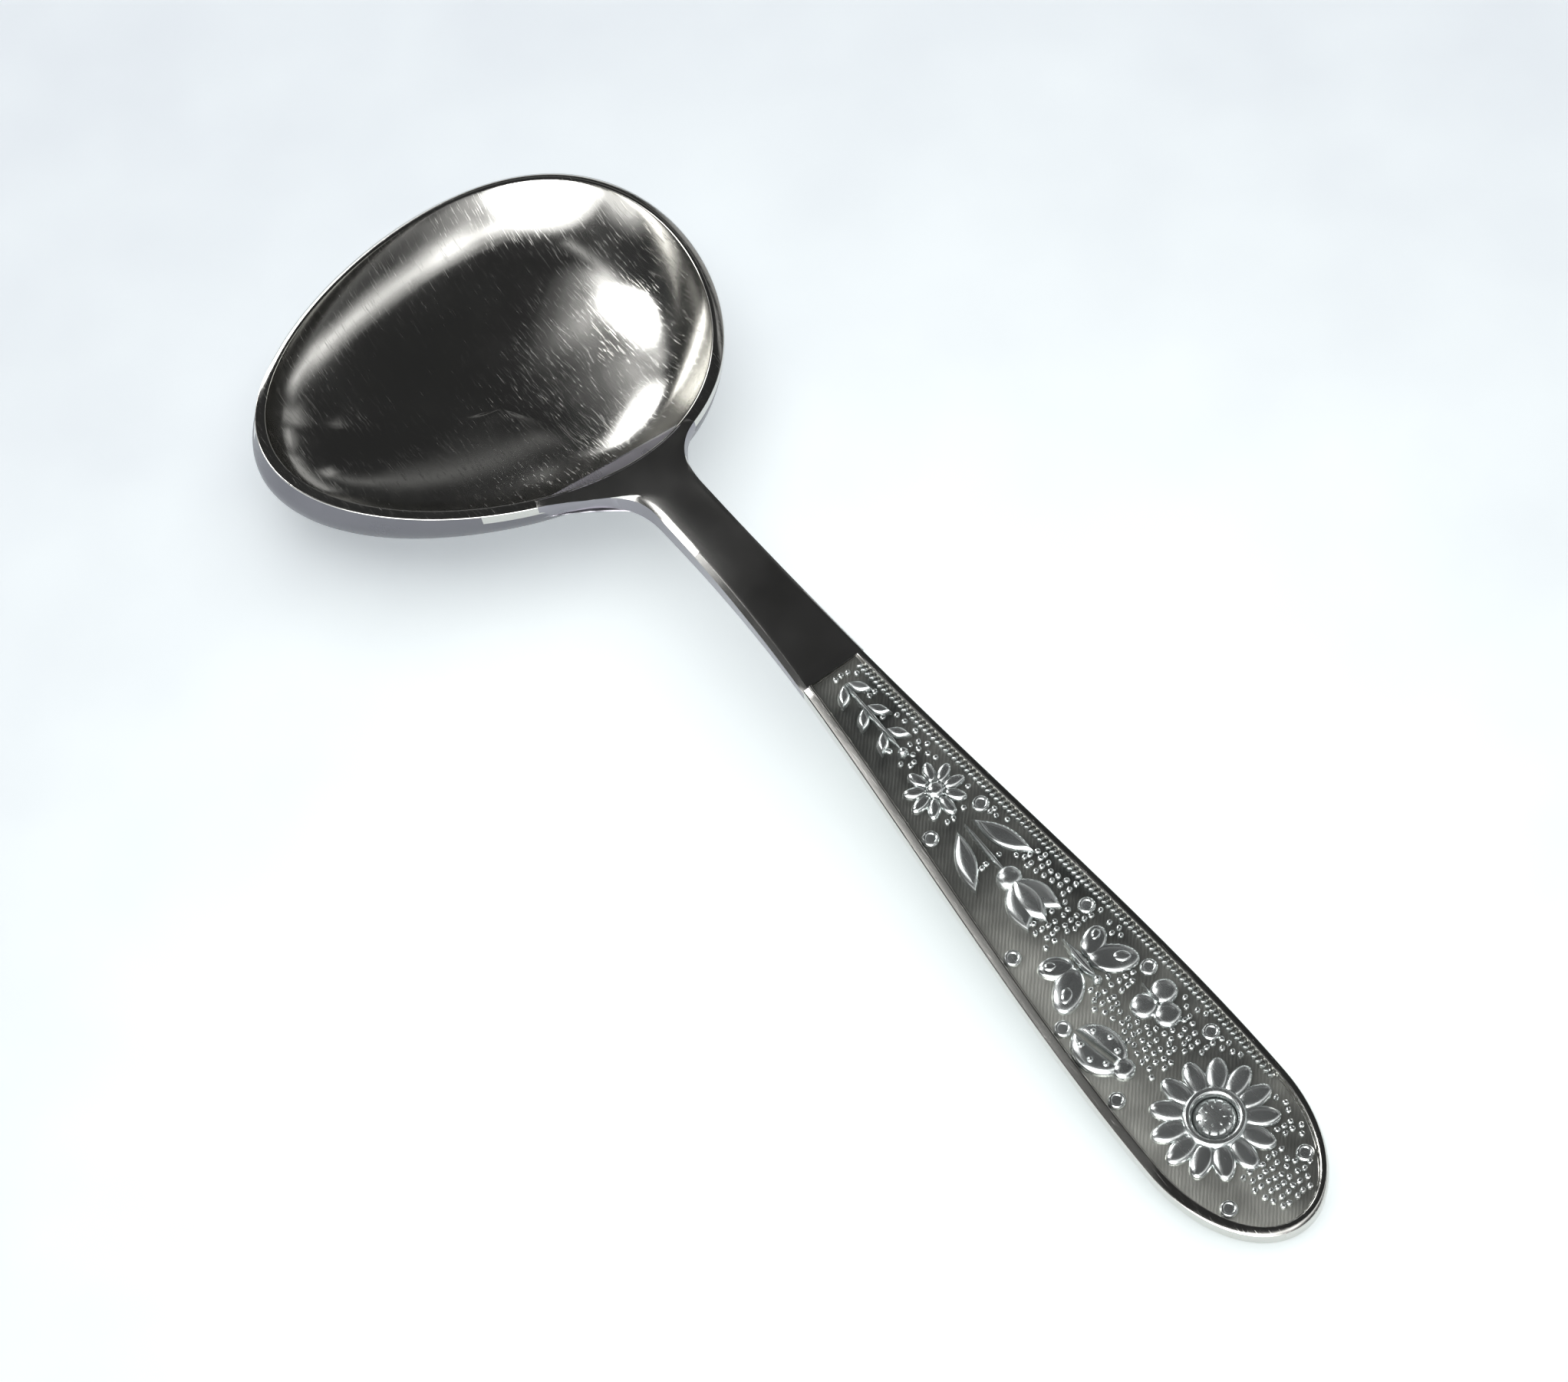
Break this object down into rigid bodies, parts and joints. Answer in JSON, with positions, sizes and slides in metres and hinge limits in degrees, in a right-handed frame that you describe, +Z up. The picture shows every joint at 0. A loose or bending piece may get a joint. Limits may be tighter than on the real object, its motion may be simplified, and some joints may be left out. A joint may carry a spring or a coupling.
{
  "type": "child spoon",
  "caption": "One-piece steel child's spoon: an egg-shaped bowl turned sideways to the handle, a flared neck, a slim arched shank and a broad handle with a picture panel in low relief.",
  "frame": {"origin": "on the table, under the middle of the bowl, on the bowl's flat foot", "axes": "+X along the handle, from the bowl to the handle's end; +Z up, out of the bowl; +Y towards the bowl's broad heel, away from its tip"},
  "size_m": [0.1236, 0.0426, 0.0092],
  "materials": {
    "polished_steel": "stainless steel polished to a mirror, with fine hairline scratches from use",
    "panel_steel": "sunk ground of the picture panel: satin and finely pebbled stainless steel, darker in the hollows",
    "relief_steel": "raised relief of polished stainless steel with rounded edges"
  },
  "bodies": {
    "root": {"bowl": "polished_steel", "neck": "polished_steel", "shank": "polished_steel", "handle_plate": "panel_steel", "handle_border": "polished_steel", "milled_line": "relief_steel", "sprig": "relief_steel", "daisy_petals": "relief_steel", "daisy_centre": "relief_steel", "tulip_flower": "relief_steel", "tulip_leaves": "relief_steel", "butterfly_wings": "relief_steel", "butterfly_body": "relief_steel", "ladybird_shell": "relief_steel", "ladybird_head": "relief_steel", "clover_leaf": "relief_steel", "sunflower_petals": "relief_steel", "sunflower_ring": "relief_steel", "sunflower_centre": "relief_steel", "studs": "relief_steel"}
  },
  "joints": []
}
